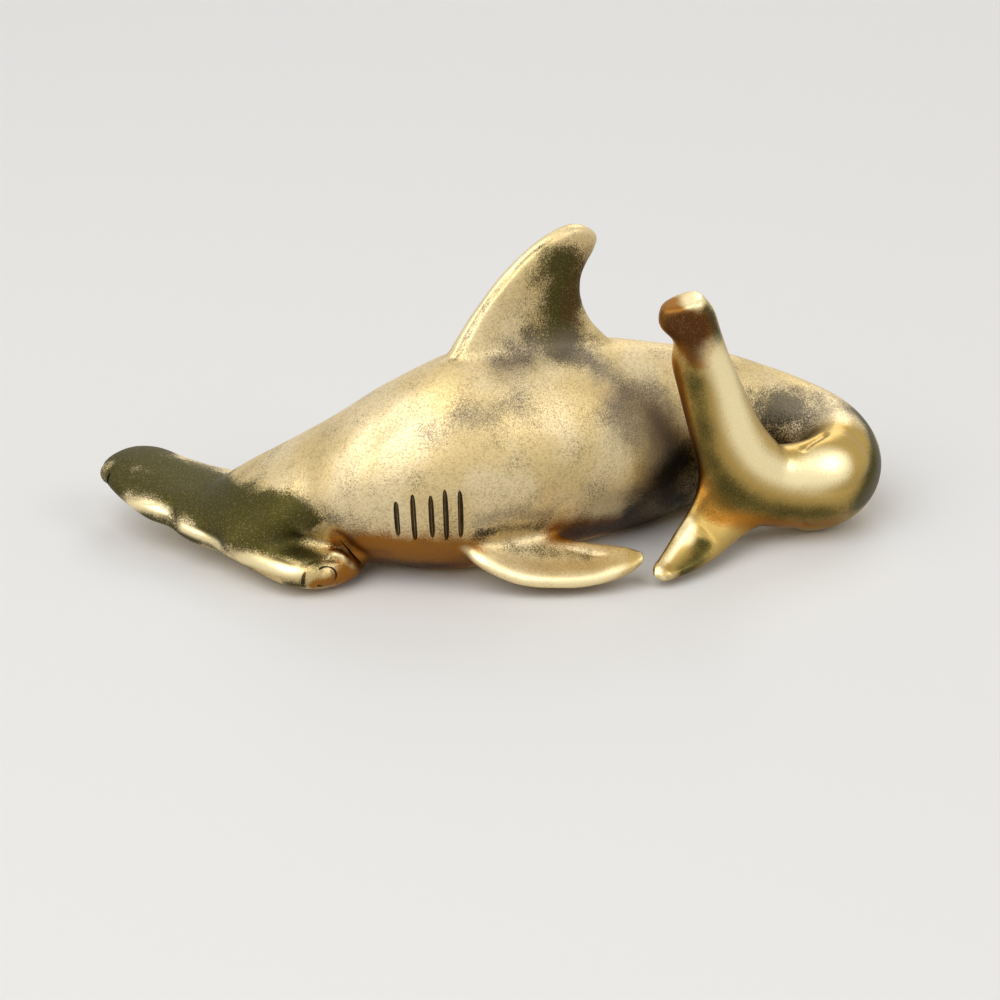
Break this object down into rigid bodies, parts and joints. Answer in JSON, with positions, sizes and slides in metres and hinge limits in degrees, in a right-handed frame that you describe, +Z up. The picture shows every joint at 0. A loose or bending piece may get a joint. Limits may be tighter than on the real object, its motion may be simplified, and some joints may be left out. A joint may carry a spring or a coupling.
{
  "type": "shark figurine",
  "caption": "Small solid cast brass ornament of a hammerhead shark lying on its belly, with the head turned out and the tail curled round beside the body.",
  "frame": {"origin": "centre of the casting's bounding box, on the plane that the belly stands on", "axes": "+X from the head towards the tail's bend, +Z up, and -Y is the side that the head and the tail turn to"},
  "size_m": [0.0586, 0.0224, 0.0244],
  "materials": {
    "brass": "solid cast brass, satin and finely grained with dark oxide in the hollows and on the flank, rubbed bright on the fins' rims and the tail"
  },
  "bodies": {
    "root": {"shark_figurine": "brass"}
  },
  "joints": []
}
